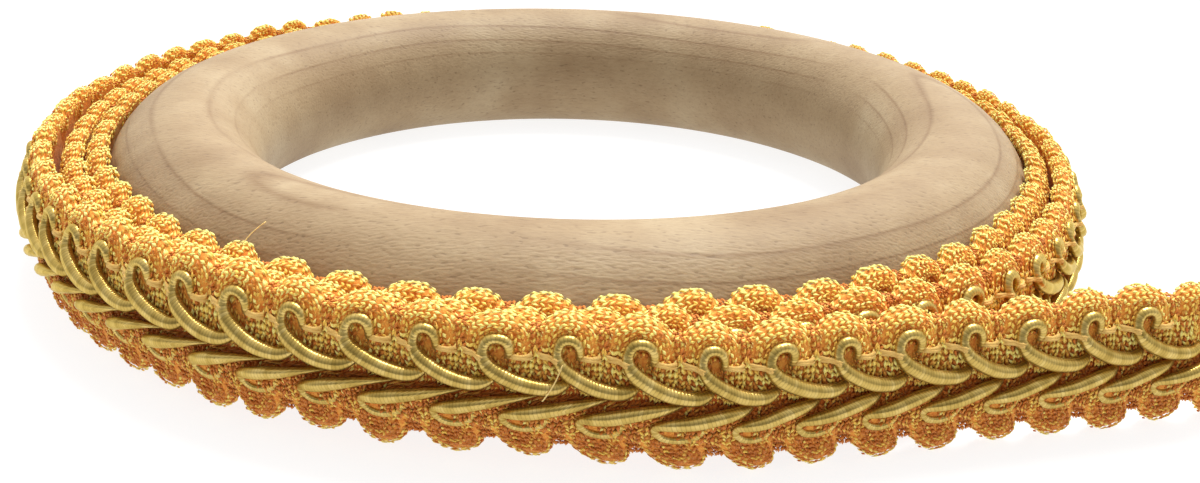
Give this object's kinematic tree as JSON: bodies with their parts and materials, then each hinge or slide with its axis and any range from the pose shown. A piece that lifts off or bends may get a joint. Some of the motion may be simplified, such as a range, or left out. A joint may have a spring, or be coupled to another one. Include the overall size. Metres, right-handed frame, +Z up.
{
  "type": "lace trim wound on a wooden ring",
  "caption": "Scalloped gimp braid wound flat round a turned wooden ring, standing on its edge, with the free end led away along the table.",
  "frame": {"origin": "middle of the bounding box's underside, on the table", "axes": "+Z up along the ring's axis; the front is -Y and the free end leaves towards +X"},
  "size_m": [0.0814, 0.0794, 0.0108],
  "materials": {
    "turned_wood": "bare turned wood, sanded smooth",
    "gold_yarn": "lustrous gold yarn, braided, with satin wrapped cords"
  },
  "bodies": {
    "root": {"wooden_ring": "turned_wood", "gimp_braid": "gold_yarn"}
  },
  "joints": []
}
